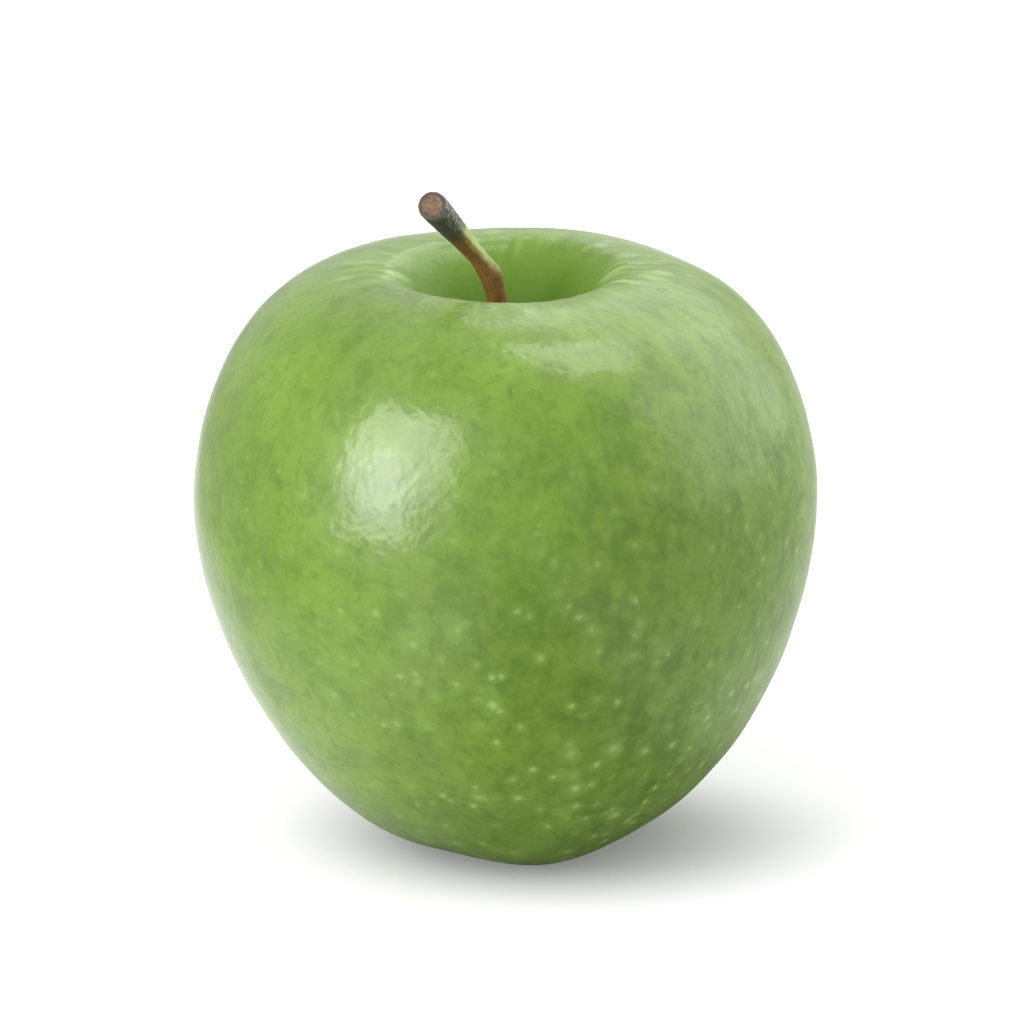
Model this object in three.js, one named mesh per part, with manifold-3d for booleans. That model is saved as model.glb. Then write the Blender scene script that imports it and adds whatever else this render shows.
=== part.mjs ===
// A green apple with its stem and its dried calyx, in millimetres, +Z up.
// The origin is on the surface that the apple rests on, under the middle of its girth.

import * as THREE from 'three';
import { mergeVertices } from 'three/addons/utils/BufferGeometryUtils.js';
import Module from 'manifold-3d';

const wasm = await Module();
wasm.setup();

// Fruit: its half section
const girthRadius = 38.2;
const girthHeight = 42.4;
const crestRadius = 15.4;
const crestHeight = 71.6;
const cavityDepth = 16;
const footRadius = 10.5;
const basinDepth = 6.5;

// How far each curve of the section runs on level, or upright, before it turns
const cavityFloorPull = 3;
const crestInnerPull = 7;
const crestOuterPull = 18.3;
const girthUpperPull = 11;
const girthLowerPull = 19.8;
const footOuterPull = 14;
const footInnerPull = 4;
const footHalfLevel = 0.8;
const basinFloorPull = 2.5;

// Fruit: what growing did to the round section
const lobeCount = 5;
const lobeTurn = THREE.MathUtils.degToRad(-79);
const girthLobe = 0.2;
const footLobe = 0.25;
const footOval = 1.7;
const footShift = 1.6;
const valleyLift = 0.7;
const footWear = 0.2;

// Fruit: facets
const fruitSides = 72;
const cavityRings = 9;
const shoulderRings = 11;
const flankRings = 12;
const basinRings = 7;

// Stem: its half thickness from root to cut end, and a bud scar on its side
const stemRadii = [1.3, 1.25, 1.2, 1.15, 1, 1.3, 1.5];
const stemCutRadius = 1.15;
const stemBevel = 0.35;
const stemSeat = 5;
const stemSides = 16;
const stemRings = 28;
const scarPlace = 0.56;
const scarLength = 0.045;
const scarHeight = 0.5;

// Calyx: five dried sepals round a stump of dried stamens, on a plug that sits in the basin
const plugRadius = 2.3;
const plugHeight = 2.5;
const stumpRadius = 1;
const stumpDrop = 2.4;
const sepalCount = 5;
const sepalHalfWidth = 1.15;
const sepalTipHalfWidth = 0.3;
const sepalHalfThickness = 0.33;
const sepalRings = 8;
const sepalSides = 10;
const calyxSides = 24;

// Clearance between pieces that touch
const gap = 0.3;

// Worked out from the sizes above
const stemHoleRadius = stemRadii[0] + gap;
const plugHoleRadius = plugRadius + gap;
const cavityFloor = crestHeight - cavityDepth;

// 0 at the girth and above it, 1 at the foot
function lowness(height) {
  return THREE.MathUtils.clamp(1 - height / girthHeight, 0, 1);
}

// Moves every vertex of a geometry by a rule that changes the point it is given
function reshape(geometry, rule) {
  const position = geometry.attributes.position;
  const point = new THREE.Vector3();
  for (let i = 0; i < position.count; i += 1) {
    point.fromBufferAttribute(position, i);
    rule(point);
    position.setXYZ(i, point.x, point.y, point.z);
  }
  geometry.computeVertexNormals();
  return geometry;
}

function curve(...corners) {
  return new THREE.CubicBezierCurve(...corners.map((corner) => new THREE.Vector2(...corner)));
}

// The half section, outwards from the calyx hole, up the flank and down into the stem hole
function fruitSection() {
  const basin = curve(
    [plugHoleRadius, basinDepth],
    [plugHoleRadius + basinFloorPull, basinDepth],
    [footRadius - footInnerPull, 0],
    [footRadius - footHalfLevel, 0],
  );
  const flank = curve(
    [footRadius + footHalfLevel, 0],
    [footRadius + footOuterPull, 0],
    [girthRadius, girthHeight - girthLowerPull],
    [girthRadius, girthHeight],
  );
  const shoulder = curve(
    [girthRadius, girthHeight],
    [girthRadius, girthHeight + girthUpperPull],
    [crestRadius + crestOuterPull, crestHeight],
    [crestRadius, crestHeight],
  );
  const cavity = curve(
    [crestRadius, crestHeight],
    [crestRadius - crestInnerPull, crestHeight],
    [stemHoleRadius + cavityFloorPull, cavityFloor],
    [stemHoleRadius, cavityFloor],
  );
  return [
    new THREE.Vector2(0, basinDepth + plugHeight + gap),
    new THREE.Vector2(plugHoleRadius, basinDepth + plugHeight + gap),
    ...basin.getPoints(basinRings),
    ...flank.getPoints(flankRings),
    ...shoulder.getPoints(shoulderRings).slice(1),
    ...cavity.getPoints(cavityRings).slice(1),
    new THREE.Vector2(stemHoleRadius, cavityFloor - stemSeat - gap),
    new THREE.Vector2(0, cavityFloor - stemSeat - gap),
  ];
}

// Five lobes, strongest at the foot, an oval foot off to one side, and five small worn pads to stand on
function growFruit(point) {
  const radius = Math.hypot(point.x, point.y);
  const angle = Math.atan2(point.y, point.x);
  const low = lowness(point.z);
  const outward = THREE.MathUtils.smoothstep(radius, plugHoleRadius, footRadius);
  const lobe = Math.cos(lobeCount * (angle - lobeTurn));
  const reach = girthLobe + (footLobe - girthLobe) * low ** 2;
  const swell = outward * (reach * lobe - footOval * low ** 2 * Math.cos(2 * angle));
  const lift = (outward * valleyLift * (1 - lobe)) / 2 - footWear;
  point.x += swell * Math.cos(angle) + footShift * low ** 2;
  point.y += swell * Math.sin(angle);
  point.z = Math.max(point.z + lift * low ** 6, 0);
}

function fruitGeometry() {
  const turned = new THREE.LatheGeometry(fruitSection(), fruitSides);
  turned.rotateX(Math.PI / 2);
  return reshape(turned, growFruit);
}

// Bends a straight piece that was turned about Y, from y = 0 to 1, along a path
function bendAlong(geometry, path, rings) {
  const frames = path.computeFrenetFrames(rings);
  return reshape(geometry, (point) => {
    const ring = Math.round(point.y * rings);
    const centre = path.getPointAt(point.y);
    const across = frames.normals[ring].clone().multiplyScalar(point.x);
    const aside = frames.binormals[ring].clone().multiplyScalar(-point.z);
    point.copy(centre).add(across).add(aside);
  });
}

// The stem stands in its hole, leans aside over the cavity and ends in a thick cut end
function stemGeometry() {
  const path = new THREE.CatmullRomCurve3([
    new THREE.Vector3(0, 0, cavityFloor - stemSeat),
    new THREE.Vector3(0, 0, cavityFloor),
    new THREE.Vector3(-0.75, -0.8, crestHeight - 4.3),
    new THREE.Vector3(-2.6, -2.6, crestHeight + 1.2),
    new THREE.Vector3(-4.7, -4.9, crestHeight + 4.6),
    new THREE.Vector3(-8.6, -12, crestHeight + 11.2),
  ]);
  const lastRadius = stemRadii.length - 1;
  const thickness = new THREE.SplineCurve(
    stemRadii.map((radius, i) => new THREE.Vector2(radius, i / lastRadius)),
  );
  const section = [new THREE.Vector2(0, 0)];
  for (let ring = 0; ring < stemRings; ring += 1) {
    section.push(new THREE.Vector2(thickness.getPoint(ring / stemRings).x, ring / stemRings));
  }
  section.push(new THREE.Vector2(stemRadii[lastRadius], 1 - stemBevel / path.getLength()));
  section.push(new THREE.Vector2(stemCutRadius, 1));
  section.push(new THREE.Vector2(0, 1));
  const turned = new THREE.LatheGeometry(section, stemSides);
  reshape(turned, (point) => {
    const onScarSide = Math.max(-point.x / stemRadii[0], 0);
    point.x -= scarHeight * onScarSide * Math.exp(-(((point.y - scarPlace) / scarLength) ** 2));
  });
  return bendAlong(turned, path, stemRings);
}

// One narrow sepal that leans in under the basin and curls out at its tip
function sepalGeometry() {
  const path = new THREE.CatmullRomCurve3([
    new THREE.Vector3(1, 0, basinDepth + 0.7),
    new THREE.Vector3(1.6, 0, basinDepth - 0.6),
    new THREE.Vector3(1.7, 0, basinDepth - 2),
    new THREE.Vector3(2.3, 0, basinDepth - 3.3),
    new THREE.Vector3(3.6, 0, basinDepth - 3.9),
  ]);
  const rod = new THREE.CylinderGeometry(1, 1, 1, sepalSides, sepalRings);
  rod.translate(0, 0.5, 0);
  reshape(rod, (point) => {
    point.x *= THREE.MathUtils.lerp(sepalHalfWidth, sepalTipHalfWidth, point.y ** 1.5);
    point.z *= sepalHalfThickness;
  });
  return bendAlong(rod, path, sepalRings);
}

// A closed geometry as a solid that can be joined and cut
function toSolid(geometry) {
  const bare = geometry.clone();
  bare.deleteAttribute('normal');
  bare.deleteAttribute('uv');
  const merged = mergeVertices(bare);
  return new wasm.Manifold(new wasm.Mesh({
    numProp: 3,
    vertProperties: merged.attributes.position.array,
    triVerts: Uint32Array.from(merged.index.array),
  }));
}

function fromSolid(solid) {
  const mesh = solid.getMesh();
  const geometry = new THREE.BufferGeometry();
  geometry.setAttribute('position', new THREE.BufferAttribute(mesh.vertProperties, 3));
  geometry.setIndex(new THREE.BufferAttribute(mesh.triVerts, 1));
  geometry.computeVertexNormals();
  return geometry;
}

function calyxGeometry() {
  const stump = new THREE.LatheGeometry([
    new THREE.Vector2(0, basinDepth - stumpDrop),
    new THREE.Vector2(stumpRadius, basinDepth - stumpDrop),
    new THREE.Vector2(stumpRadius, basinDepth - 1),
    new THREE.Vector2(plugRadius, basinDepth),
    new THREE.Vector2(plugRadius, basinDepth + plugHeight),
    new THREE.Vector2(0, basinDepth + plugHeight),
  ], calyxSides);
  stump.rotateX(Math.PI / 2);
  let solid = toSolid(stump);
  for (let sepal = 0; sepal < sepalCount; sepal += 1) {
    const turn = lobeTurn + ((sepal + 0.5) * 2 * Math.PI) / sepalCount;
    solid = solid.add(toSolid(sepalGeometry().rotateZ(turn)));
  }
  return fromSolid(solid);
}

function piece(name, geometry, color, roughness) {
  const material = new THREE.MeshStandardMaterial({ color, roughness, metalness: 0 });
  const mesh = new THREE.Mesh(geometry, material);
  mesh.name = name;
  return mesh;
}

const apple = new THREE.Group();
const fruit = piece('fruit', fruitGeometry(), '#86a84c', 0.35);
const stem = piece('stem', stemGeometry(), '#6a5230', 0.8);
const calyx = piece('calyx', calyxGeometry(), '#5b4731', 0.9);
calyx.position.x = footShift * lowness(basinDepth) ** 2;
apple.add(fruit, stem, calyx);

export default apple;
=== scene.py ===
import math
import random
import bpy
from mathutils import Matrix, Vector, noise


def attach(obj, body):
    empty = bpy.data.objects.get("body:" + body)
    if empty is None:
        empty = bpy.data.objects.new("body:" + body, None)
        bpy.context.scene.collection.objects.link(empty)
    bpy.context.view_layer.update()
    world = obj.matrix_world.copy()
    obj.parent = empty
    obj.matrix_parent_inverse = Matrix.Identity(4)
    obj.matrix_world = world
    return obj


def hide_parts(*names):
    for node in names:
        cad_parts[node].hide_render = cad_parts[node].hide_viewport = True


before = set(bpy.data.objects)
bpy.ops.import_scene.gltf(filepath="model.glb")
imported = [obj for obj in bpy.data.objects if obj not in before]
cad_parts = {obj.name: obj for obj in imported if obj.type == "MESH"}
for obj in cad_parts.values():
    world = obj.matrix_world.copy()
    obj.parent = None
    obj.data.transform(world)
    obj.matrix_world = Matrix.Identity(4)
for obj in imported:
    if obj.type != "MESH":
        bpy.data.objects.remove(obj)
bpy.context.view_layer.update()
mm = 0.001
print("frame loaded:", ", ".join(sorted(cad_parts)))


def smoothStep(value, low, high):
    share = min(max((value - low) / (high - low), 0), 1)
    return share * share * (3 - 2 * share)


def linear(hexColour):
    # sRGB hex to the linear colour that a shader takes
    channels = [int(hexColour[i:i + 2], 16) / 255 for i in (1, 3, 5)]
    bent = [c / 12.92 if c <= 0.04045 else ((c + 0.055) / 1.055) ** 2.4 for c in channels]
    return (*bent, 1)


def only(piece):
    # nothing else stays selected, so an operator acts on this piece alone
    bpy.ops.object.select_all(action="DESELECT")
    piece.select_set(True)
    bpy.context.view_layer.objects.active = piece


def added(name):
    piece = bpy.context.object
    piece.name = name
    piece.data.name = name
    only(piece)
    return piece


def applyModifier(piece, kind, **settings):
    only(piece)
    modifier = piece.modifiers.new(kind.lower(), kind)
    for key, value in settings.items():
        setattr(modifier, key, value)
    bpy.ops.object.modifier_apply(modifier=modifier.name)


def cleanShell(piece):
    # doubles are merged before the faces are turned outwards
    only(piece)
    bpy.ops.object.mode_set(mode="EDIT")
    bpy.ops.mesh.select_all(action="SELECT")
    bpy.ops.mesh.remove_doubles(threshold=0.002 * mm)
    bpy.ops.mesh.normals_make_consistent(inside=False)
    bpy.ops.object.mode_set(mode="OBJECT")


def setPlace(piece):
    only(piece)
    bpy.ops.object.transform_apply(location=True, rotation=True, scale=True)


def remember(mesh, name, kind, values):
    # keeps one value for each vertex, for a material to read
    attribute = mesh.attributes.new(name, kind, "POINT")
    key = "vector" if kind == "FLOAT_VECTOR" else "value"
    for spot, value in zip(attribute.data, values):
        setattr(spot, key, value)


shot = {
    "target": (0.92, 0, 40.45),    # mm, middle of the view
    "elevation": 18.34,            # degrees above the horizon
    "distance": 700,
    "lens": 200,
}


def addCamera():
    up = math.radians(shot["elevation"])
    target = Vector(shot["target"]) * mm
    away = Vector((0, -math.cos(up), math.sin(up))) * shot["distance"] * mm
    bpy.ops.object.camera_add(location=target + away)
    camera = added("shotCamera")
    camera.rotation_euler = (-away).to_track_quat("-Z", "Y").to_euler()
    camera.data.lens = shot["lens"]
    bpy.context.scene.camera = camera


fruitForm = {
    # half section, mm
    "girthRadius": 38.2, "girthHeight": 42.4,
    "crestRadius": 15.4, "crestHeight": 71.6,
    "cavityFloor": 55.6,
    "footRadius": 10.5, "basinDepth": 6.5,
    # how far each curve of the section runs level, or upright, before it turns
    "cavityFloorPull": 3, "crestInnerPull": 7, "crestOuterPull": 18.3,
    "girthUpperPull": 11, "girthLowerPull": 19.8,
    "footOuterPull": 14, "footInnerPull": 4, "footHalfLevel": 0.8, "basinFloorPull": 2.5,
    # holes that the stem and the calyx grow out of, and how near the rows lie that keep their edges crisp
    "stemHole": 1.36, "stemHoleFloor": 50.3,
    "calyxHole": 2.6, "calyxHoleRoof": 9.3,
    "upEdge": 0.3, "levelEdge": 0.2,
    # what growing did to the round section
    "lobeCount": 5, "lobeTurn": math.radians(-79),
    "girthLobe": 0.2, "footLobe": 0.25, "footOval": 1.7, "footShift": 1.6,
    "valleyLift": 0.7, "footWear": 0.2,
    # mesh
    "turns": 144, "stepsPerCurve": 24,
    # unevenness of the grown surface: size of the dents and their depth, mm
    "broadDent": 17, "broadDepth": 0.22,
    "smallDent": 5.5, "smallDepth": 0.07,
    # it fades in over these radii and heights, so that holes and pads keep their size
    "holeMargin": (3, 9), "padMargin": (0, 4),
    # fine folds that run out of the cavity over the crest, deeper on two sides
    "foldCount": 9, "foldDepth": 0.1, "deepFold": 0.36,
    "foldSides": (math.radians(2), math.radians(195)), "foldSpread": math.radians(38),
    "foldInner": 8, "foldCrest": 15, "foldOuter": 24, "foldRun": 5,
}


def fruitSection():
    f = fruitForm
    hole, girth = f["stemHole"], f["girthRadius"]
    foot, level = f["footRadius"], f["footHalfLevel"]
    crest, top, floor = f["crestRadius"], f["crestHeight"], f["cavityFloor"]
    basin, up = f["basinDepth"], f["upEdge"]
    # each row: place, handle before it, handle after it; None is a straight run
    return [
        ((0, f["calyxHoleRoof"]), None, None),
        ((f["calyxHole"], f["calyxHoleRoof"]), None, None),
        ((f["calyxHole"], basin + up), None, None),
        ((f["calyxHole"], basin), None, (f["calyxHole"] + f["basinFloorPull"], basin)),
        ((foot - level, 0), (foot - f["footInnerPull"], 0), None),
        ((foot + level, 0), None, (foot + f["footOuterPull"], 0)),
        ((girth, f["girthHeight"]), (girth, f["girthHeight"] - f["girthLowerPull"]),
         (girth, f["girthHeight"] + f["girthUpperPull"])),
        ((crest, top), (crest + f["crestOuterPull"], top), (crest - f["crestInnerPull"], top)),
        ((hole + f["levelEdge"], floor), (hole + f["cavityFloorPull"], floor), None),
        ((hole, floor - up), None, None),
        ((hole, f["stemHoleFloor"]), None, None),
        ((0, f["stemHoleFloor"]), None, None),
    ]


def drawSection(name, rows, steps):
    # a Bezier curve in the XZ plane
    bpy.ops.curve.primitive_bezier_curve_add()
    curve = added(name)
    curve.data.resolution_u = steps
    points = curve.data.splines[0].bezier_points
    points.add(len(rows) - len(points))
    for point, (place, before, after) in zip(points, rows):
        point.handle_left_type = "FREE" if before else "VECTOR"
        point.handle_right_type = "FREE" if after else "VECTOR"
        point.co = (place[0] * mm, 0, place[1] * mm)
        if before:
            point.handle_left = (before[0] * mm, 0, before[1] * mm)
        if after:
            point.handle_right = (after[0] * mm, 0, after[1] * mm)
    only(curve)
    bpy.ops.object.convert(target="MESH")
    return bpy.context.object


def lowness(height):
    # 0 at the girth and above it, 1 at the foot
    return min(max(1 - height / fruitForm["girthHeight"], 0), 1)


def growFruit(x, y, z):
    # five lobes, an oval foot to one side, and five worn pads to stand on; mm
    f = fruitForm
    radius, angle = math.hypot(x, y), math.atan2(y, x)
    low = lowness(z)
    outward = smoothStep(radius, f["calyxHole"], f["footRadius"])
    lobe = math.cos(f["lobeCount"] * (angle - f["lobeTurn"]))
    reach = f["girthLobe"] + (f["footLobe"] - f["girthLobe"]) * low ** 2
    swell = outward * (reach * lobe - f["footOval"] * low ** 2 * math.cos(2 * angle))
    lift = outward * f["valleyLift"] * (1 - lobe) / 2 - f["footWear"]
    x += swell * math.cos(angle) + f["footShift"] * low ** 2
    y += swell * math.sin(angle)
    return Vector((x, y, max(z + lift * low ** 6, 0)))


def angleBetween(first, second):
    return abs((first - second + math.pi) % math.tau - math.pi)


def foldAt(place, radius, angle):
    # wrinkles fan out over the crest, deepest towards the two fold sides
    f = fruitForm
    near = 1 - smoothStep(min(angleBetween(angle, side) for side in f["foldSides"]), 0, f["foldSpread"])
    depth = f["foldDepth"] + (f["deepFold"] - f["foldDepth"]) * near
    spread = Vector((math.cos(angle), math.sin(angle), 0)) * f["foldCount"]
    fold = noise.noise(spread + Vector((0, 0, radius / f["foldRun"])))
    over = smoothStep(radius, f["foldInner"], f["foldCrest"])
    over *= 1 - smoothStep(radius, f["foldCrest"], f["foldOuter"])
    return depth * fold * over if place.z > f["girthHeight"] else 0


def dentFruit(fruit):
    # soft dents all over, and the folds
    f = fruitForm
    mesh = fruit.data
    normals = [v.normal.copy() for v in mesh.vertices]
    for vertex, normal in zip(mesh.vertices, normals):
        place = vertex.co / mm
        radius, angle = math.hypot(place.x, place.y), math.atan2(place.y, place.x)
        free = smoothStep(radius, *f["holeMargin"]) * smoothStep(place.z, *f["padMargin"])
        move = f["broadDepth"] * noise.noise(place / f["broadDent"])
        move += f["smallDepth"] * noise.noise(place / f["smallDent"])
        move += foldAt(place, radius, angle)
        vertex.co += normal * move * free * mm
        vertex.co.z = max(vertex.co.z, 0)


def rememberGrowth(fruit):
    # where each point lies round the fruit and along its meridian, how deep it is in the cavity, how far
    # it stands out on a fold, how much painted shade it gets, and how freckled and how russeted the skin
    # is there
    f, s = fruitForm, skin
    grain, cavity, ridge, shade, freckle, russet = [], [], [], [], [], []
    for vertex in fruit.data.vertices:
        x, y, z = vertex.co / mm
        radius, angle = math.hypot(x, y), math.atan2(y, x)
        tilt = math.atan2(z - f["girthHeight"], radius)
        around = Vector((math.cos(angle), math.sin(angle), tilt / s["stretch"]))
        grain.append(around * f["girthRadius"] * mm)
        inside = 1 - smoothStep(radius, *s["cavityReach"])
        cavity.append(inside if z > f["girthHeight"] else 0)
        ridge.append(foldAt(vertex.co / mm, radius, angle) / f["deepFold"])
        # painted shade: a band on one side, between two heights
        aside = angleBetween(angle, s["shadeSide"]) / s["shadeSpread"]
        within = smoothStep(z, *s["shadeFoot"]) * (1 - smoothStep(z, *s["shadeHead"]))
        shade.append(math.exp(-aside ** 2) * within)
        lit = (0.5 + 0.5 * math.cos(angle - s["freckleSide"])) ** 3
        lit *= 1 - smoothStep(z, *s["freckleFade"])
        freckle.append(s["leastFreckle"] + (1 - s["leastFreckle"]) * lit)
        russet.append(max(math.cos(angle - s["crackSide"]), 0) ** 2 + s["leastCrack"])
    remember(fruit.data, "grain", "FLOAT_VECTOR", grain)
    for name, values in (("cavity", cavity), ("ridge", ridge), ("shade", shade),
                         ("freckle", freckle), ("russet", russet)):
        remember(fruit.data, name, "FLOAT", values)


def makeFruit():
    f = fruitForm
    fruit = drawSection("fruitSkin", fruitSection(), f["stepsPerCurve"])
    bpy.ops.object.mode_set(mode="EDIT")
    bpy.ops.mesh.select_all(action="SELECT")
    bpy.ops.mesh.spin(steps=f["turns"], angle=math.tau, center=(0, 0, 0), axis=(0, 0, 1))
    bpy.ops.object.mode_set(mode="OBJECT")
    cleanShell(fruit)
    for vertex in fruit.data.vertices:
        vertex.co = growFruit(*(vertex.co / mm)) * mm
    applyModifier(fruit, "SUBSURF", levels=1, render_levels=1)
    dentFruit(fruit)
    rememberGrowth(fruit)
    only(fruit)
    bpy.ops.object.shade_smooth()
    return fruit


stemForm = {
    # half thickness from root to cut end, mm
    "radii": (1.3, 1.3, 1.27, 1.18, 1.1, 1.48, 1.75),
    # rise and radius of each ring of the cut end: rounded edge, dried wood, raised pith
    "bevel": 0.35, "cutRadius": 1.38,
    "cutRings": ((0.245, 1.6), (0.105, 1.38), (-0.05, 1.23), (-0.04, 0.75), (-0.02, 0.45), (0.048, 0.2)),
    "path": ((0, 0, 50.6), (0, 0, 55.6), (-0.75, -0.8, 67.3), (-2.6, -2.6, 72.8),
             (-4.7, -4.9, 76.2), (-8.6, -12, 82.8)),
    "sides": 40, "rings": 84,
    "scarPlace": 0.56, "scarLength": 0.045, "scarHeight": 0.5, "scarSide": math.radians(180),
    # lengthwise furrows and short wrinkles, mm: how deep, how many round the stem and how long
    "furrowDepth": 0.09, "furrowsRound": 2.6, "furrowLength": 9,
    "wrinkleDepth": 0.05, "wrinklesPerMm": (1.1, 1.1, 1.6), "wrinkleStart": (7, 3, 0),
    # they are deeper between these shares of the length
    "plain": 0.6, "deeper": 0.9, "deeperFrom": (0.6, 0.8), "deeperTo": (0.92, 0.99),
    "barkRim": (0.6, 1),    # no furrows inside that radius, on the cut face
    "cutDepth": 0.15, "rimInside": 0.1, "rimOutside": 0.12,
    # the end was cut at a slant, so that its face looks forwards
    "cutSlant": math.radians(17), "cutLooks": (0, -0.95, 0.31), "cutStart": 0.93,
    # the side toward the lights, where the bark is partly weathered grey and paler green and partly
    # painted with highlights
    "weatherSide": (0.88, -0.15, 0.45),
}


def between(values, share):
    # a smooth curve through evenly spaced values
    spot = share * (len(values) - 1)
    i = min(int(spot), len(values) - 2)
    t = spot - i
    a, b = values[max(i - 1, 0)], values[i]
    c, d = values[i + 1], values[min(i + 2, len(values) - 1)]
    return b + t * ((c - a) + t * ((2 * a - 5 * b + 4 * c - d) + t * (3 * (b - c) + d - a))) / 2


def drawPath(name, places):
    bpy.ops.curve.primitive_bezier_curve_add()
    curve = added(name)
    curve.data.resolution_u = 32
    curve.data.dimensions = "3D"
    points = curve.data.splines[0].bezier_points
    points.add(len(places) - len(points))
    for point, place in zip(points, places):
        point.co = Vector(place) * mm
        point.handle_left_type = "AUTO"
        point.handle_right_type = "AUTO"
    return curve


def bendAlong(piece, places):
    # a straight piece that stands on the origin follows a path
    path = drawPath("bendPath", places)
    applyModifier(piece, "CURVE", object=path, deform_axis="POS_Z")
    bpy.data.objects.remove(path)
    only(piece)


def pathLength(places):
    curve = drawPath("lengthPath", places)
    length = curve.data.splines[0].calc_length()
    bpy.data.objects.remove(curve)
    return length / mm


def makeStem():
    s = stemForm
    length = pathLength(s["path"])
    bpy.ops.object.select_all(action="DESELECT")
    bpy.ops.mesh.primitive_circle_add(vertices=s["sides"], radius=s["radii"][0] * mm, fill_type="NGON")
    stem = added("stemBark")
    bpy.ops.object.mode_set(mode="EDIT")
    bpy.ops.mesh.select_all(action="SELECT")
    step = (length - s["bevel"]) / s["rings"]
    barkRings = [(step, between(s["radii"], ring / s["rings"])) for ring in range(1, s["rings"] + 1)]
    radius = s["radii"][0]
    for rise, wanted in [*barkRings, *s["cutRings"]]:
        bpy.ops.mesh.extrude_region_move(TRANSFORM_OT_translate={"value": (0, 0, rise * mm)})
        bpy.ops.transform.resize(value=(wanted / radius, wanted / radius, 1))
        radius = wanted
    bpy.ops.object.mode_set(mode="OBJECT")
    cleanShell(stem)
    rememberBark(stem, length)
    shapeBark(stem, length)
    bendAlong(stem, s["path"])
    slantCut(stem)
    rememberWeatherAndLight(stem)
    only(stem)
    bpy.ops.object.shade_smooth_by_angle(angle=math.radians(50))
    return stem


def rememberBark(stem, length):
    # where each point lies on the straight stem, and which points are on the cut face
    s = stemForm
    along, place, cut = [], [], []
    for vertex in stem.data.vertices:
        x, y, z = vertex.co / mm
        rim = (s["cutRadius"] - s["rimInside"], s["cutRadius"] + s["rimOutside"])
        along.append(z / length)
        place.append(vertex.co.copy())
        cut.append(1 - smoothStep(math.hypot(x, y), *rim) if z > length - s["cutDepth"] else 0)
    remember(stem.data, "along", "FLOAT", along)
    remember(stem.data, "barkPlace", "FLOAT_VECTOR", place)
    remember(stem.data, "cut", "FLOAT", cut)


def shapeBark(stem, length):
    # furrows, wrinkles and the bud scar
    s = stemForm
    for vertex in stem.data.vertices:
        x, y, z = vertex.co / mm
        share, angle, radius = z / length, math.atan2(y, x), math.hypot(x, y)
        around = Vector((math.cos(angle), math.sin(angle), 0)) * s["furrowsRound"]
        furrow = noise.noise(around + Vector((0, 0, z / s["furrowLength"])))
        wrinkle = noise.noise(Vector((x, y, z)) * Vector(s["wrinklesPerMm"]) + Vector(s["wrinkleStart"]))
        rough = smoothStep(share, *s["deeperFrom"]) - smoothStep(share, *s["deeperTo"])
        rough = s["plain"] + s["deeper"] * rough
        grow = rough * (s["furrowDepth"] * furrow + s["wrinkleDepth"] * wrinkle)
        scar = math.exp(-((share - s["scarPlace"]) / s["scarLength"]) ** 2)
        grow += s["scarHeight"] * max(math.cos(angle - s["scarSide"]), 0) * scar
        factor = 1 + grow * smoothStep(radius, *s["barkRim"]) / max(radius, s["barkRim"][0])
        vertex.co.x *= factor
        vertex.co.y *= factor


def slantCut(stem):
    # slides the last stretch along the stem, so that its end face turns towards cutLooks
    s = stemForm
    end = Vector(s["path"][-1])
    heading = (end - Vector(s["path"][-2])).normalized()
    looks = Vector(s["cutLooks"])
    side = (looks - heading * looks.dot(heading)).normalized()
    along = [spot.value for spot in stem.data.attributes["along"].data]
    for vertex, share in zip(stem.data.vertices, along):
        offset = (vertex.co / mm - end).dot(side)
        slide = -math.tan(s["cutSlant"]) * offset * smoothStep(share, s["cutStart"], 1)
        vertex.co += heading * slide * mm


def rememberWeatherAndLight(stem):
    # how far each point faces the side toward the lights, where grey flecks and a green strip are partly
    # painted highlight
    side = Vector(stemForm["weatherSide"]).normalized()
    remember(stem.data, "weather", "FLOAT", [vertex.normal.dot(side) for vertex in stem.data.vertices])


sepalForm = {
    "count": 5,
    "path": ((1, 0, 7.2), (1.6, 0, 5.9), (1.7, 0, 4.5), (2.3, 0, 3.2), (3.6, 0, 2.6)),
    "width": 2.2, "tipWidth": 0.35, "thickness": 0.22,
    # how far its edges rise and how much of that is lost at the tip, how ragged and how crumpled it is,
    # with how many waves, and how far it leans aside at most
    "cup": 0.35, "cupFade": 0.6,
    "ragged": 0.12, "raggedRows": 6,
    "crumple": 0.16, "crumpleRows": 4, "crumpleColumns": 2,
    "lean": 0.25,
    "across": 8, "rows": 16, "seed": 4,
}
stamenForm = {
    "plugRadius": 2.3, "plugTop": 9, "plugFloor": 6.5,
    "stumpRadius": 0.8, "stumpEnd": 4.5, "stumpSteps": 4, "stumpEdge": 0.3,
    "count": 15, "length": 2.6, "thickness": 0.13, "taper": 0.6, "ring": 0.95,
    "joints": (0.35, 0.7), "start": 6.6,
    # each one's share of the length, of the ring's radius, its turn and its bow
    "lengths": (0.75, 1.1), "rings": (0.7, 1.15), "turns": (-0.15, 0.15), "bows": (-0.25, 0.45),
    "seed": 11,
}


def calyxPlace():
    return Vector((fruitForm["footShift"] * lowness(fruitForm["basinDepth"]) ** 2, 0, 0)) * mm


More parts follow.
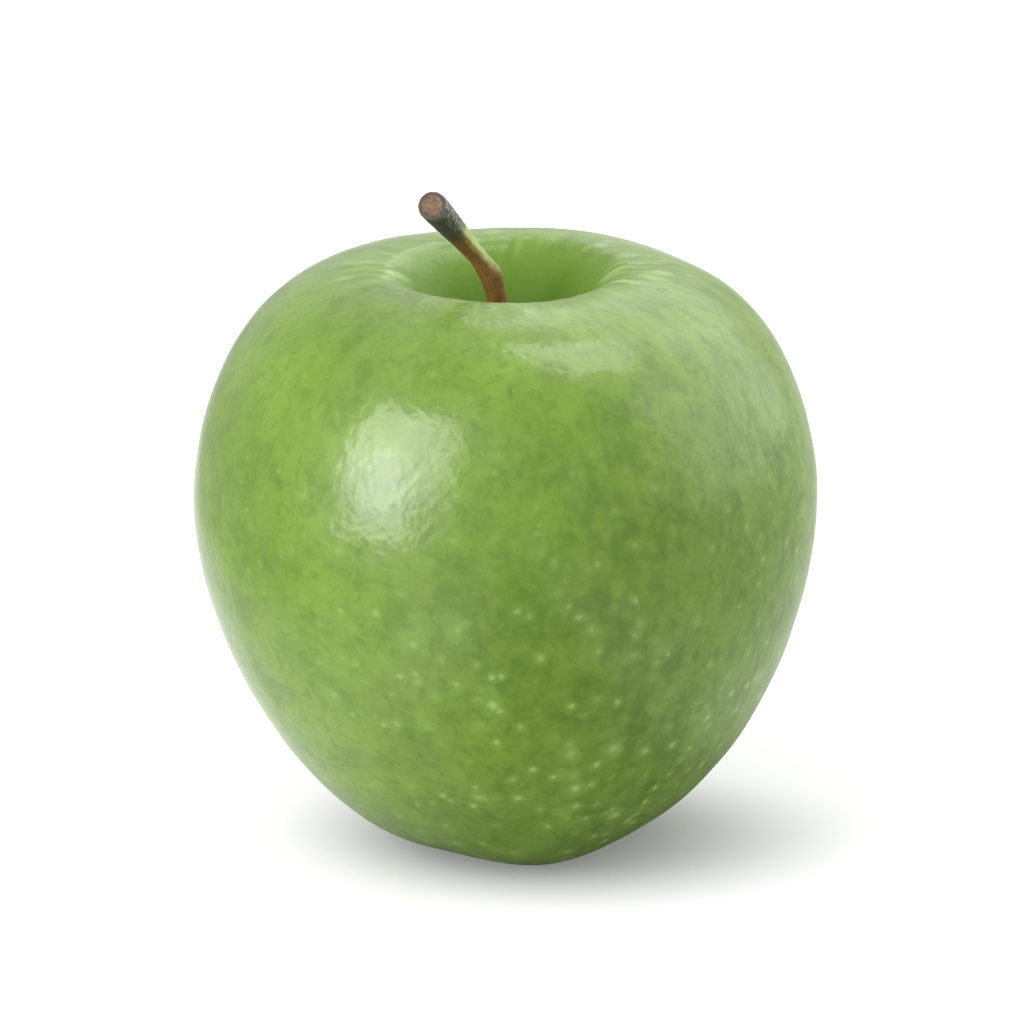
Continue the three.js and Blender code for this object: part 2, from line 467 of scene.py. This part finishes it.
def makeSepal(name, turn, draw):
    s = sepalForm
    length = pathLength(s["path"])
    bpy.ops.object.select_all(action="DESELECT")
    bpy.ops.mesh.primitive_grid_add(x_subdivisions=s["rows"], y_subdivisions=s["across"], size=1)
    sepal = added(name)
    wave, lean = draw.uniform(0, 9), draw.uniform(-s["lean"], s["lean"])
    for vertex in sepal.data.vertices:
        share, side = vertex.co.x + 0.5, vertex.co.y * 2
        half = (s["width"] * (1 - share ** 1.5) + s["tipWidth"] * share ** 1.5) / 2
        half *= 1 + s["ragged"] * noise.noise(Vector((share * s["raggedRows"], side, wave)))
        curl = s["cup"] * side ** 2 * (1 - s["cupFade"] * share)
        crumple = Vector((share * s["crumpleRows"], side * s["crumpleColumns"], wave + 5))
        curl += s["crumple"] * noise.noise(crumple)
        vertex.co = Vector((half * side + lean * share ** 2, curl, length * share)) * mm
    applyModifier(sepal, "SOLIDIFY", thickness=s["thickness"] * mm, offset=0)
    applyModifier(sepal, "SUBSURF", levels=1, render_levels=1)
    bendAlong(sepal, s["path"])
    sepal.rotation_euler.z = turn
    sepal.location = calyxPlace()
    setPlace(sepal)
    cleanShell(sepal)
    bpy.ops.object.shade_smooth()
    return sepal


def makeSepals():
    draw = random.Random(sepalForm["seed"])
    count = sepalForm["count"]
    turns = [fruitForm["lobeTurn"] + (k + 0.5) * math.tau / count for k in range(count)]
    return [makeSepal(f"sepal{k + 1}", turn, draw) for k, turn in enumerate(turns)]


def makeStamens():
    s = stamenForm
    draw = random.Random(s["seed"])
    bpy.ops.object.select_all(action="DESELECT")
    depth, middle = s["plugTop"] - s["plugFloor"], (s["plugTop"] + s["plugFloor"]) / 2
    bpy.ops.mesh.primitive_cylinder_add(vertices=32, radius=s["plugRadius"] * mm, depth=depth * mm,
                                        location=(0, 0, middle * mm))
    plug = added("driedStamens")
    # the floor of the plug goes in and down into the stump
    bpy.ops.object.mode_set(mode="EDIT")
    bpy.ops.mesh.select_mode(type="FACE")
    bpy.ops.mesh.select_all(action="DESELECT")
    bpy.ops.object.mode_set(mode="OBJECT")
    for face in plug.data.polygons:
        face.select = face.normal.z < -0.9
    bpy.ops.object.mode_set(mode="EDIT")
    bpy.ops.mesh.inset(thickness=(s["plugRadius"] - s["stumpRadius"]) * mm)
    drop = (s["plugFloor"] - s["stumpEnd"]) / s["stumpSteps"]
    for _ in range(s["stumpSteps"]):
        bpy.ops.mesh.extrude_region_move(TRANSFORM_OT_translate={"value": (0, 0, -drop * mm)})
    bpy.ops.mesh.inset(thickness=s["stumpEdge"] * mm)
    bpy.ops.object.mode_set(mode="OBJECT")
    cleanShell(plug)
    setPlace(plug)
    threads = [makeStamen(k, draw) for k in range(s["count"])]
    only(plug)
    for thread in threads:
        thread.select_set(True)
    bpy.ops.object.join()
    plug.location = calyxPlace()
    setPlace(plug)
    bpy.ops.object.shade_smooth_by_angle(angle=math.radians(40))
    return plug


def makeStamen(k, draw):
    s = stamenForm
    length = s["length"] * draw.uniform(*s["lengths"])
    bpy.ops.object.select_all(action="DESELECT")
    thick, middle = s["thickness"] * mm, (0, 0, length / 2 * mm)
    bpy.ops.mesh.primitive_cone_add(vertices=8, radius1=thick, radius2=thick * s["taper"],
                                    depth=length * mm, location=middle)
    thread = added(f"stamen{k}")
    setPlace(thread)
    bpy.ops.object.mode_set(mode="EDIT")
    for share in s["joints"]:
        bpy.ops.mesh.select_all(action="SELECT")
        bpy.ops.mesh.bisect(plane_co=(0, 0, length * share * mm), plane_no=(0, 0, 1))
    bpy.ops.object.mode_set(mode="OBJECT")
    turn = k * math.tau / s["count"] + draw.uniform(*s["turns"])
    reach = s["ring"] * draw.uniform(*s["rings"])
    bow = draw.uniform(*s["bows"])
    cos, sin = math.cos(turn), math.sin(turn)
    for vertex in thread.data.vertices:
        x, y, z = vertex.co / mm
        x += reach + bow * (z / length) ** 2
        vertex.co = Vector((x * cos - y * sin, x * sin + y * cos, s["start"] - z)) * mm
    cleanShell(thread)
    return thread


def perMetre(size):
    # the scale of a pattern whose marks are that many mm apart
    return 1 / (size * mm)


def addNode(tree, kind, give=None, links=None, stops=(), **settings):
    # settings name a property or an input; links give an input its source; stops fill a ramp;
    # the node's output named by give is handed back
    node = tree.nodes.new("ShaderNode" + kind)
    for key, value in settings.items():
        if hasattr(node, key):
            setattr(node, key, value)
    inputs = {socket.identifier.replace(" ", ""): socket for socket in node.inputs}
    for key, value in settings.items():
        if not hasattr(node, key):
            inputs[key].default_value = value
    for key, source in (links or {}).items():
        tree.links.new(source, inputs[key])
    while stops and len(node.color_ramp.elements) < len(stops):
        node.color_ramp.elements.new(0.5)
    for k, (place, value) in enumerate(stops):
        node.color_ramp.elements[k].position = place
        colour = linear(value) if isinstance(value, str) else (value, value, value, 1)
        node.color_ramp.elements[k].color = colour
    return node.outputs[give] if give else node


def newMaterial(name):
    material = bpy.data.materials.new(name)
    material.use_nodes = True
    material.node_tree.nodes.clear()
    return material, material.node_tree


def dress(piece, material):
    piece.data.materials.clear()
    piece.data.materials.append(material)


skin = {
    "fullGreen": "#4c6512", "paleGreen": "#5c7721", "deepGreen": "#3f5a0d", "cavityGreen": "#4a6913",
    # the pale tone of the fold ridges is a painted highlight
    "bloom": "#617938", "ridgeBloom": "#869f5b",
    "lenticelHalo": "#6b8638", "lenticelCore": "#8ba062", "crack": "#4b661f",
    # sizes in mm
    "zoneSize": 16, "patchSize": 5, "mottleSize": 1.6, "strokeSize": 2.4, "crackSize": 3.4,
    "stretch": 1.8,    # strokes and cracks are that many times longer along the meridian
    # each pattern's share of the deep and of the pale green
    "patchTones": (0.4, 0.45), "mottleTones": (0.45, 0.4), "strokeTones": (0.45, 0.6),
    # the skin of the cavity ends between these radii, mm
    "cavityReach": (9, 16.4), "cavityShare": 0.8, "ridgeShare": 0.5,
    # painted shade, a deeper green on the front right between the lights: its side, its lower and its
    # upper border, mm
    "shadeSide": math.radians(-73), "shadeSpread": math.radians(18),
    "shadeFoot": (10, 38), "shadeHead": (45, 70), "deepest": 0.7,
    # lenticels: spacing, radius of halo and core, how strong, and which share has none
    "lenticels": ((2.3, 1.25, 0.55, 0.9, 0.2), (4.6, 2.2, 0.8, 1, 0.4)),
    "freckleSide": math.radians(-50), "freckleFade": (20, 62), "leastFreckle": 0.12,
    "wobble": 0.6, "wobbleSize": 1.2,
    "crackSide": math.radians(-22), "leastCrack": 0.2, "crackWidth": 0.013,
    # roughness of the skin and of its wax; down in the cavity it is rougher and has no wax
    "flesh": 0.42, "cavityFlesh": 0.75, "gloss": 0.3, "ior": 1.45,
    "wax": 0.16, "waxWeight": 0.5, "leastWax": 0.2, "waxIor": 1.5,
    # light that goes a little way under the skin
    "underSkin": 0.12, "underSkinReach": (0.5, 1, 0.2), "underSkinDepth": 1.5,
    # height of the swells and of the fine pores, and how far apart they are
    "swell": 0.09, "swellSize": 5, "pore": 0.06, "poreSize": 1.3, "crackDepth": 0.015,
}


def groundGreen(tree, place, shade):
    # broad zones, a bloom on some of them, and the deeper green of the painted shade
    s = skin
    zones = addNode(tree, "TexNoise", "Fac", {"Vector": place}, Scale=perMetre(s["zoneSize"]), Detail=2.0)
    share = addNode(tree, "ValToRGB", "Color", {"Fac": zones}, ((0.35, 0), (0.65, 1)))
    colour = addNode(tree, "MixRGB", "Color", {"Fac": share}, Color1=linear(s["fullGreen"]),
                     Color2=linear(s["paleGreen"]))
    share = addNode(tree, "ValToRGB", "Color", {"Fac": zones}, ((0.36, 0.5), (0.5, 0)))
    colour = addNode(tree, "MixRGB", "Color", {"Fac": share, "Color1": colour}, Color2=linear(s["bloom"]))
    # painted shade: the band is mixed towards the deep green
    share = addNode(tree, "MapRange", "Result", {"Value": shade}, ToMin=0.0, ToMax=s["deepest"])
    return addNode(tree, "MixRGB", "Color", {"Fac": share, "Color1": colour},
                   Color2=linear(s["deepGreen"]))


def skinPattern(tree, colour, place, grain, mottle, russet):
    # soft patches, a finer mottle in them, and strokes along the meridians on the russeted side
    s = skin
    deep, pale = linear(s["deepGreen"]), linear(s["paleGreen"])
    patches = addNode(tree, "TexNoise", "Fac", {"Vector": place}, Scale=perMetre(s["patchSize"]),
                      Detail=2.0, Roughness=0.5, Distortion=0.4)
    strokes = addNode(tree, "TexNoise", "Fac", {"Vector": grain}, Scale=perMetre(s["strokeSize"]),
                      Detail=2.0, Roughness=0.6, Distortion=0.5)
    for pattern, tones, side in ((patches, "patchTones", None), (mottle, "mottleTones", None),
                                 (strokes, "strokeTones", russet)):
        darkest, palest = s[tones]
        for tone, stops in ((deep, ((0.33, darkest), (0.5, 0))), (pale, ((0.5, 0), (0.67, palest)))):
            share = addNode(tree, "ValToRGB", "Color", {"Fac": pattern}, stops)
            if side:
                share = addNode(tree, "Math", "Value", {"Value": share, "Value_001": side},
                                operation="MULTIPLY")
            colour = addNode(tree, "MixRGB", "Color", {"Fac": share, "Color1": colour}, Color2=tone)
    return colour


def lenticels(tree, colour, place, freckle):
    # a pale halo with a paler core, large ones and small ones
    s = skin
    wobble = addNode(tree, "TexNoise", "Color", {"Vector": place}, Scale=perMetre(s["wobbleSize"]),
                     Detail=1.0)
    shifted = addNode(tree, "MixRGB", "Color", {"Color1": place, "Color2": wobble}, Fac=s["wobble"] * mm)
    for spacing, halo, core, strength, bare in s["lenticels"]:
        dots = addNode(tree, "TexVoronoi", None, {"Vector": shifted}, Scale=perMetre(spacing))
        distance = dots.outputs["Distance"]
        rare = addNode(tree, "SeparateColor", "Red", {"Color": dots.outputs["Color"]})
        kept = ((bare, 0), (bare + 0.3, strength))
        chosen = addNode(tree, "ValToRGB", "Color", {"Fac": rare}, kept)
        amount = addNode(tree, "Math", "Value", {"Value": chosen, "Value_001": freckle},
                         operation="MULTIPLY")
        for radius, tone in ((halo, "lenticelHalo"), (core, "lenticelCore")):
            stops = ((0, 1), (radius / spacing, 0))
            mark = addNode(tree, "ValToRGB", "Color", {"Fac": distance}, stops)
            share = addNode(tree, "Math", "Value", {"Value": mark, "Value_001": amount},
                            operation="MULTIPLY")
            colour = addNode(tree, "MixRGB", "Color", {"Fac": share, "Color1": colour},
                             Color2=linear(s[tone]))
    return colour


def skinCracks(tree, grain, mottle, russet):
    # fine broken cracks of the wax and the skin, mostly upright and on one side
    s = skin
    lines = addNode(tree, "TexNoise", "Fac", {"Vector": grain}, Scale=perMetre(s["crackSize"]),
                    Detail=4.0, Roughness=0.6, Distortion=1.2)
    stops = ((0.5 - s["crackWidth"], 0), (0.5, 1), (0.5 + s["crackWidth"], 0))
    line = addNode(tree, "ValToRGB", "Color", {"Fac": lines}, stops)
    broken = addNode(tree, "ValToRGB", "Color", {"Fac": mottle}, ((0.53, 0), (0.62, 1)))
    line = addNode(tree, "Math", "Value", {"Value": line, "Value_001": broken}, operation="MULTIPLY")
    return addNode(tree, "Math", "Value", {"Value": line, "Value_001": russet}, operation="MULTIPLY")


def skinRelief(tree, place, cracks):
    # the swells and pores break up the highlights
    s = skin
    swells = addNode(tree, "TexNoise", "Fac", {"Vector": place}, Scale=perMetre(s["swellSize"]),
                     Detail=0.0)
    pores = addNode(tree, "TexNoise", "Fac", {"Vector": place}, Scale=perMetre(s["poreSize"]),
                    Detail=1.0)
    bump = addNode(tree, "Bump", "Normal", {"Height": swells}, Distance=s["swell"] * mm, Strength=1.0)
    bump = addNode(tree, "Bump", "Normal", {"Height": pores, "Normal": bump},
                   Distance=s["pore"] * mm, Strength=1.0)
    return addNode(tree, "Bump", "Normal", {"Height": cracks, "Normal": bump},
                   Distance=s["crackDepth"] * mm, Strength=1.0, invert=True)


def waxedSkin():
    # green dessert apple skin, grown, with its own wax: a thin gloss over a matter, mottled and
    # freckled green, so that highlights have a clear but broken edge
    s = skin
    material, tree = newMaterial("waxedAppleSkin")
    place = addNode(tree, "TexCoord", "Object")
    grain = addNode(tree, "Attribute", "Vector", attribute_name="grain")
    cavity, ridge, shade, freckle, russet = [addNode(tree, "Attribute", "Fac", attribute_name=name)
                                             for name in ("cavity", "ridge", "shade", "freckle", "russet")]
    mottle = addNode(tree, "TexNoise", "Fac", {"Vector": place}, Scale=perMetre(s["mottleSize"]),
                     Detail=3.0, Roughness=0.6, Distortion=0.8)
    cracks = skinCracks(tree, grain, mottle, russet)
    colour = groundGreen(tree, place, shade)
    colour = skinPattern(tree, colour, place, grain, mottle, russet)
    colour = lenticels(tree, colour, place, freckle)
    colour = addNode(tree, "MixRGB", "Color", {"Fac": cracks, "Color1": colour}, Color2=linear(s["crack"]))
    share = addNode(tree, "MapRange", "Result", {"Value": cavity}, ToMin=0.0, ToMax=s["cavityShare"])
    colour = addNode(tree, "MixRGB", "Color", {"Fac": share, "Color1": colour},
                     Color2=linear(s["cavityGreen"]))
    # the ridges of the folds are painted pale: a painted highlight along each ridge
    share = addNode(tree, "ValToRGB", "Color", {"Fac": ridge}, ((0.03, 0), (0.32, s["ridgeShare"])))
    colour = addNode(tree, "MixRGB", "Color", {"Fac": share, "Color1": colour},
                     Color2=linear(s["ridgeBloom"]))
    # the wax is thin on the russeted side, and there is none down in the cavity
    roughness = addNode(tree, "MapRange", "Result", {"Value": cavity},
                        ToMin=s["flesh"], ToMax=s["cavityFlesh"])
    thin = addNode(tree, "MapRange", "Result", {"Value": russet}, ToMin=s["waxWeight"],
                   ToMax=s["leastWax"])
    outside = addNode(tree, "MapRange", "Result", {"Value": cavity}, ToMin=1.0, ToMax=0.0)
    wax = addNode(tree, "Math", "Value", {"Value": thin, "Value_001": outside}, operation="MULTIPLY")
    bump = skinRelief(tree, place, cracks)
    shader = addNode(tree, "BsdfPrincipled", None,
                     {"BaseColor": colour, "Roughness": roughness, "CoatWeight": wax,
                      "Normal": bump, "CoatNormal": bump},
                     IOR=s["ior"], SpecularIORLevel=s["gloss"],
                     CoatRoughness=s["wax"], CoatIOR=s["waxIor"],
                     SubsurfaceWeight=s["underSkin"], SubsurfaceRadius=s["underSkinReach"],
                     SubsurfaceScale=s["underSkinDepth"] * mm)
    addNode(tree, "OutputMaterial", None, {"Surface": shader.outputs["BSDF"]})
    return material


bark = {
    "root": "#744722", "middle": "#6f4d24", "upper": "#5a4a26", "end": "#3a3a30",
    "furrow": "#2a2013", "fleck": "#a8703c", "greyed": "#77796a", "green": "#8d9c58",
    "wood": "#433120", "woodStreak": "#624a2f", "woodRim": "#2c1e15",
    "fibre": 1.2, "fibreDepth": 0.14, "speckle": 0.45, "speckleDepth": 0.05,    # mm
    "uneven": 0.06,    # how far the borders between the zones wander, as a share of the length
    "roughness": 0.62, "ior": 1.45,
}


def barkZones(tree, along, fibre):
    # from the root to the thick end, with dark furrows
    b = bark
    colour = addNode(tree, "ValToRGB", "Color", {"Fac": along}, (
        (0.4, b["root"]), (0.5, b["middle"]), (0.75, b["middle"]), (0.79, b["upper"]), (0.83, b["end"])))
    share = addNode(tree, "ValToRGB", "Color", {"Fac": fibre}, ((0.38, 0.35), (0.5, 0)))
    return addNode(tree, "MixRGB", "Color", {"Fac": share, "Color1": colour}, Color2=linear(b["furrow"]))


def barkFlecks(tree, colour, along, zones, speckle, weather):
    # pale flecks low on the stalk, grey ones high up, most of them on the side toward the lights: partly
    # weathered grey, partly a painted highlight
    b = bark
    low = addNode(tree, "ValToRGB", "Color", {"Fac": along}, ((0.42, 0.8), (0.52, 0)))
    high = addNode(tree, "ValToRGB", "Color", {"Fac": zones}, ((0.79, 0), (0.83, 1)))
    lit = addNode(tree, "ValToRGB", "Color", {"Fac": weather}, ((0.2, 0.1), (0.75, 1)))
    high = addNode(tree, "Math", "Value", {"Value": high, "Value_001": lit}, operation="MULTIPLY")
    flecks = addNode(tree, "ValToRGB", "Color", {"Fac": speckle}, ((0.52, 0), (0.6, 1)))
    for zone, tone in ((low, "fleck"), (high, "greyed")):
        share = addNode(tree, "Math", "Value", {"Value": flecks, "Value_001": zone}, operation="MULTIPLY")
        colour = addNode(tree, "MixRGB", "Color", {"Fac": share, "Color1": colour}, Color2=linear(b[tone]))
    return colour


def greenStripAndHighlight(tree, colour, zones, weather):
    # a pale green strip below the dark end, on the side toward the lights: partly green bark, partly a
    # painted highlight
    strip = addNode(tree, "ValToRGB", "Color", {"Fac": zones}, ((0.54, 0), (0.64, 1), (0.8, 1), (0.83, 0)))
    facing = addNode(tree, "ValToRGB", "Color", {"Fac": weather}, ((0.5, 0), (0.75, 0.8)))
    share = addNode(tree, "Math", "Value", {"Value": strip, "Value_001": facing}, operation="MULTIPLY")
    return addNode(tree, "MixRGB", "Color", {"Fac": share, "Color1": colour}, Color2=linear(bark["green"]))


def cutWood(tree, colour, cut, speckle):
    # streaked wood inside a reddish rim
    b = bark
    wood = addNode(tree, "ValToRGB", "Color", {"Fac": speckle},
                   ((0.4, b["wood"]), (0.62, b["woodStreak"])))
    rim = addNode(tree, "ValToRGB", "Color", {"Fac": cut}, ((0.8, 1), (1, 0)))
    wood = addNode(tree, "MixRGB", "Color", {"Fac": rim, "Color1": wood}, Color2=linear(b["woodRim"]))
    share = addNode(tree, "ValToRGB", "Color", {"Fac": cut}, ((0.3, 0), (0.6, 1)))
    return addNode(tree, "MixRGB", "Color", {"Fac": share, "Color1": colour, "Color2": wood})


def stalkBark():
    # dried fruit stalk, grown and cut: dull fibrous bark, reddish at the root, almost black and partly
    # weathered grey at the thick end, with its grey and a green strip partly painted highlight on the side
    # toward the lights, and dry wood on the cut face
    b = bark
    material, tree = newMaterial("driedStalkBark")
    place = addNode(tree, "Attribute", "Vector", attribute_name="barkPlace")
    along, weather, cut = [addNode(tree, "Attribute", "Fac", attribute_name=name)
                           for name in ("along", "weather", "cut")]
    fibre = addNode(tree, "TexNoise", "Fac", {"Vector": place}, Scale=perMetre(b["fibre"]), Detail=4.0,
                    Roughness=0.6)
    speckle = addNode(tree, "TexNoise", "Fac", {"Vector": place}, Scale=perMetre(b["speckle"]),
                      Detail=3.0, Roughness=0.6)
    uneven = addNode(tree, "MapRange", "Result", {"Value": fibre}, ToMin=-b["uneven"], ToMax=b["uneven"])
    zones = addNode(tree, "Math", "Value", {"Value": along, "Value_001": uneven}, operation="ADD")
    colour = barkZones(tree, zones, fibre)
    colour = barkFlecks(tree, colour, along, zones, speckle, weather)
    colour = greenStripAndHighlight(tree, colour, zones, weather)
    colour = cutWood(tree, colour, cut, speckle)
    bump = addNode(tree, "Bump", "Normal", {"Height": fibre}, Distance=b["fibreDepth"] * mm, Strength=1.0)
    bump = addNode(tree, "Bump", "Normal", {"Height": speckle, "Normal": bump},
                   Distance=b["speckleDepth"] * mm, Strength=1.0)
    shader = addNode(tree, "BsdfPrincipled", None, {"BaseColor": colour, "Normal": bump},
                     Roughness=b["roughness"], IOR=b["ior"])
    addNode(tree, "OutputMaterial", None, {"Surface": shader.outputs["BSDF"]})
    return material


calyxTissue = {
    "dark": "#3a2a18", "brown": "#6b5233", "dry": "#8a7350",
    "fibre": 0.9, "fibreDepth": 0.1,    # mm
    "roughness": 0.85, "ior": 1.45,
}


def driedSepals():
    # dried sepals and stamens, grown: brittle brown leaf tissue with a felt of short hairs, quite matt
    c = calyxTissue
    material, tree = newMaterial("driedSepalTissue")
    place = addNode(tree, "TexCoord", "Object")
    fibre = addNode(tree, "TexNoise", "Fac", {"Vector": place}, Scale=perMetre(c["fibre"]), Detail=4.0,
                    Roughness=0.6)
    colour = addNode(tree, "ValToRGB", "Color", {"Fac": fibre}, (
        (0.35, c["dark"]), (0.55, c["brown"]), (0.72, c["dry"])))
    bump = addNode(tree, "Bump", "Normal", {"Height": fibre}, Distance=c["fibreDepth"] * mm, Strength=1.0)
    shader = addNode(tree, "BsdfPrincipled", None, {"BaseColor": colour, "Normal": bump},
                     Roughness=c["roughness"], IOR=c["ior"])
    addNode(tree, "OutputMaterial", None, {"Surface": shader.outputs["BSDF"]})
    return material


studio = {
    "middle": (0, 0, 40),    # mm, what the lights aim at
    "sky": 0.86,
    "floorSize": 8, "floorAlbedo": 0.5, "floorRoughness": 0.9,
    # painted light: the paper glows though it is no lamp, least under the fruit, which paints its shadow;
    # least and most, how far from its middle each begins, mm, and how many times shorter that is from
    # front to back
    "glowMiddle": (8, -6, 0), "floorGlow": (0.18, 0.6), "glowReach": (10, 42), "glowFlatness": 1.5,
    # what the skin's gloss sees of the floor, from the left side to the right side, over a width in m
    "floorShineWidth": 0.24,
    "floorShine": ((0, 0.35), (0.15, 0.75), (0.35, 0.85), (0.48, 0.22), (0.63, 0.22), (0.71, 0.85),
                   (1, 0.55)),
    # azimuth from the front towards +X and elevation in degrees, distance and size in m, radiance
    "fruitLights": {
        "keySoftbox": (-47, 21, 0.9, 0.4, 0.86, 9.4),
        "keyCore": (-46, 18, 0.85, 0.2, 0.3, 7.5),
        "keyFlank": (-28, 28, 0.9, 0.14, 0.6, 5.0),
        "overheadPanel": (122, 70, 1.0, 0.5, 0.45, 6.8),
        "sidePanel": (104, 24, 1.2, 1.4, 1.3, 3.0),
        "backPanel": (156, 38, 1.3, 0.9, 0.8, 2.3),
    },
    # the floor has lamps of its own, so that its shadow stays small and soft
    "floorLights": {
        "floorHigh": (-55, 50, 0.9, 0.6, 0.6, 2.5),
        "floorOver": (0, 89, 0.9, 2.0, 2.0, 0.35),
    },
}


def addLight(name, azimuth, elevation, distance, width, height, radiance):
    a, e = math.radians(azimuth), math.radians(elevation)
    towards = Vector((math.sin(a) * math.cos(e), -math.cos(a) * math.cos(e), math.sin(e)))
    bpy.ops.object.light_add(type="AREA", location=Vector(studio["middle"]) * mm + towards * distance)
    light = bpy.context.object
    light.name = name
    light.rotation_euler = (-towards).to_track_quat("-Z", "Y").to_euler()
    light.data.shape = "RECTANGLE"
    light.data.size = width
    light.data.size_y = height
    light.data.energy = radiance * math.pi * width * height
    light.visible_camera = False
    return light


def addWorld():
    world = bpy.data.worlds.new("softStudio")
    bpy.context.scene.world = world
    world.use_nodes = True
    background = world.node_tree.nodes["Background"]
    background.inputs["Color"].default_value = (1, 1, 1, 1)
    background.inputs["Strength"].default_value = studio["sky"]
    bpy.context.scene.view_settings.view_transform = "Standard"


def whitePaper():
    # matt white paper with painted light: it glows, least under the fruit, which paints the shadow; gloss
    # sees it darker in front of the fruit, as if flags stood there
    s = studio
    material, tree = newMaterial("whitePaperSweep")
    place = addNode(tree, "TexCoord", "Object")
    across = addNode(tree, "SeparateXYZ", "X", {"Vector": place})
    half = s["floorShineWidth"] / 2
    share = addNode(tree, "MapRange", "Result", {"Value": across}, FromMin=-half, FromMax=half)
    shine = addNode(tree, "ValToRGB", "Color", {"Fac": share}, s["floorShine"])
    gloss = addNode(tree, "LightPath", "Is Glossy Ray")
    colour, seen = [addNode(tree, "MixRGB", "Color", {"Fac": gloss, "Color2": shine},
                            Color1=(tone, tone, tone, 1)) for tone in (s["floorAlbedo"], 1)]
    # the painted light grows outwards from the painted shadow under the fruit, in ovals
    away = addNode(tree, "VectorMath", "Vector", {"Vector": place}, operation="SUBTRACT",
                   Vector_001=Vector(s["glowMiddle"]) * mm)
    away = addNode(tree, "VectorMath", "Vector", {"Vector": away}, operation="MULTIPLY",
                   Vector_001=(1, s["glowFlatness"], 1))
    away = addNode(tree, "VectorMath", "Value", {"Vector": away}, operation="LENGTH")
    nearEnd, farEnd = s["glowReach"]
    least, most = s["floorGlow"]
    # painted light on the floor, least near the fruit: a painted shadow
    paintedLight = addNode(tree, "MapRange", "Result", {"Value": away}, interpolation_type="SMOOTHSTEP",
                   FromMin=nearEnd * mm, FromMax=farEnd * mm, ToMin=least, ToMax=most)
    shader = addNode(tree, "BsdfPrincipled", None,
                     {"BaseColor": colour, "EmissionColor": seen, "EmissionStrength": paintedLight},
                     Roughness=s["floorRoughness"], SpecularIORLevel=0.0)
    addNode(tree, "OutputMaterial", None, {"Surface": shader.outputs["BSDF"]})
    return material


def addFloor():
    bpy.ops.object.select_all(action="DESELECT")
    bpy.ops.mesh.primitive_plane_add(size=studio["floorSize"])
    floor = added("studioFloor")
    dress(floor, whitePaper())
    return floor


def addLights(floor):
    # one set of lamps lights all but the floor, the other lights the floor alone
    for lights, state in (("fruitLights", "EXCLUDE"), ("floorLights", "INCLUDE")):
        receivers = bpy.data.collections.new(lights)
        receivers.objects.link(floor)
        receivers.collection_objects[0].light_linking.link_state = state
        for name, placing in studio[lights].items():
            addLight(name, *placing).light_linking.receiver_collection = receivers


def fitPiece(piece, material, node):
    dress(piece, material)
    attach(piece, "root")
    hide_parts(node)


addCamera()
addWorld()
addLights(addFloor())
print("studio ready")

fruitPiece = makeFruit()
fitPiece(fruitPiece, waxedSkin(), "fruit")
print("fruit grown:", len(fruitPiece.data.polygons), "faces")

stemPiece = makeStem()
fitPiece(stemPiece, stalkBark(), "stem")
print("stem grown:", len(stemPiece.data.polygons), "faces")

tissue = driedSepals()
for calyxPiece in [*makeSepals(), makeStamens()]:
    fitPiece(calyxPiece, tissue, "calyx")
print("calyx grown")
